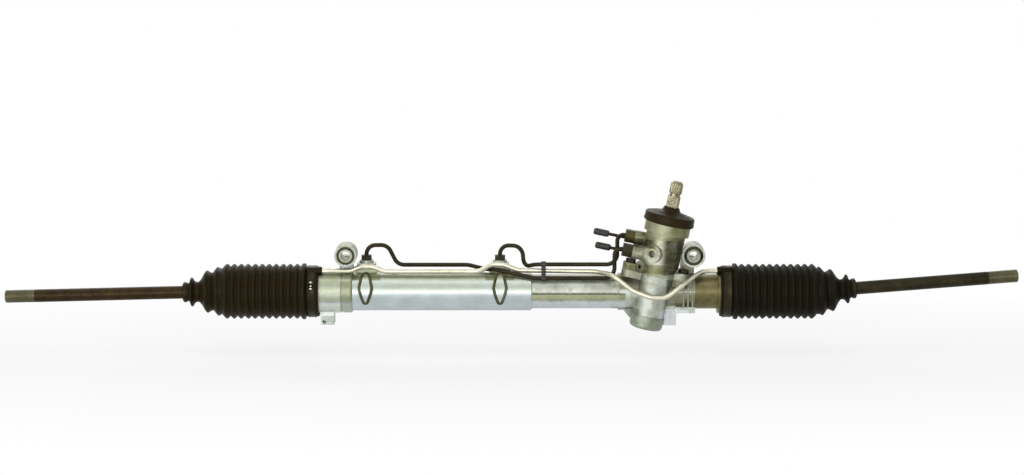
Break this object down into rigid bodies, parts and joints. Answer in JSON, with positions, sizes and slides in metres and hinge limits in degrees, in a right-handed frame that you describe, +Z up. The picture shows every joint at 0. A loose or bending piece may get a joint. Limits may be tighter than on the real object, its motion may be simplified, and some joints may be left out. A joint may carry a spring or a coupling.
{
  "type": "hydraulic steering rack",
  "caption": "Power steering rack with leaning pinion tower, hydraulic cylinder, convoluted rubber bellows, inner tie rods, transfer pipes and bushed mounting bosses.",
  "frame": {"origin": "midway between the two mounting bushes, on the front faces of their steel sleeves", "axes": "+X along the rack towards the pinion tower's side, -Y out of the mounting faces, +Z up towards the input shaft"},
  "size_m": [1.1438, 0.085, 0.17],
  "materials": {
    "cast_aluminium": "as cast, shot blasted",
    "cylinder_steel": "satin",
    "olive_steel": "aged olive passivated plating",
    "bright_steel": "ground",
    "dark_steel": "dark coating with light wear",
    "rod_steel": "dark phosphate",
    "shaft_steel": "machined, lightly oxidised",
    "rubber": "matt moulded",
    "seal_rubber": "matt",
    "nylon": "moulded",
    "black_plastic": "moulded",
    "balance_pipe": "bright drawn",
    "needle_steel": "hardened"
  },
  "bodies": {
    "housing": {"left_end_housing": "cast_aluminium", "cylinder_tube": "cylinder_steel", "gear_housing": "cast_aluminium", "valve_housing": "cast_aluminium", "valve_bolts": "dark_steel", "bottom_cap": "cast_aluminium", "dust_cap": "rubber", "right_end_sleeve": "olive_steel", "left_bush_rubber": "seal_rubber", "left_bush_sleeve": "olive_steel", "right_bush_rubber": "seal_rubber", "right_bush_sleeve": "olive_steel", "rack_bushing": "nylon", "left_rack_seal": "seal_rubber", "inner_rack_seal": "seal_rubber", "lower_bearing": "needle_steel", "upper_bearing": "needle_steel", "pinion_seal": "seal_rubber", "shaft_bearing": "needle_steel", "shaft_seal": "seal_rubber", "yoke": "cast_aluminium", "yoke_adjuster": "cast_aluminium", "yoke_locknut": "dark_steel", "yoke_spring": "bright_steel", "left_transfer_pipe": "dark_steel", "right_transfer_pipe": "dark_steel", "balance_tube": "balance_pipe", "cylinder_nuts": "dark_steel", "valve_nuts": "olive_steel", "hydraulic_stubs": "dark_steel", "stub_caps": "black_plastic", "pipe_clip": "black_plastic", "left_bellows": "rubber", "right_bellows": "rubber", "left_large_clamp": "dark_steel", "right_large_clamp": "dark_steel"},
    "rack": {"rack_bar": "bright_steel", "piston": "bright_steel", "piston_ring": "nylon", "left_ball_housing": "rod_steel", "right_ball_housing": "rod_steel", "left_ball_seat": "nylon", "right_ball_seat": "nylon"},
    "pinion": {"pinion_shaft": "shaft_steel", "pinion_nut": "bright_steel", "valve_sleeve": "bright_steel", "torsion_bar": "bright_steel"},
    "input": {"input_shaft": "shaft_steel"},
    "left_rod": {"left_tie_rod": "rod_steel", "left_small_clamp": "dark_steel"},
    "right_rod": {"right_tie_rod": "rod_steel", "right_small_clamp": "dark_steel"}
  },
  "joints": [
    {"name": "rack_slide", "type": "slide", "parent": "housing", "child": "rack", "axis": [1, 0, 0], "range_m": [-0.064, 0.064], "deforming": ["left_bellows", "right_bellows"]},
    {"name": "pinion_spin", "type": "hinge", "parent": "housing", "child": "pinion", "pos_m": [0.1495, 0.004, -0.0435], "axis": [0.2079, 0, 0.9781], "range_deg": [-498.5, 498.5]},
    {"name": "valve_twist", "type": "hinge", "parent": "pinion", "child": "input", "pos_m": [0.1495, 0.004, -0.0435], "axis": [0.2079, 0, 0.9781], "range_deg": [-4, 4], "stiffness_Nm_per_rad": 60},
    {"name": "left_rod_swing", "type": "hinge", "parent": "rack", "child": "left_rod", "pos_m": [-0.335, 0.02, -0.0435], "axis": [0, 1, 0], "range_deg": [-13.6, 16.4]},
    {"name": "right_rod_swing", "type": "hinge", "parent": "rack", "child": "right_rod", "pos_m": [0.335, 0.02, -0.0435], "axis": [0, 1, 0], "range_deg": [-10.5, 19.5]}
  ],
  "couplings": [
    {"joint": "pinion_spin", "follows": "rack_slide", "rad_per_m": -135.85}
  ]
}
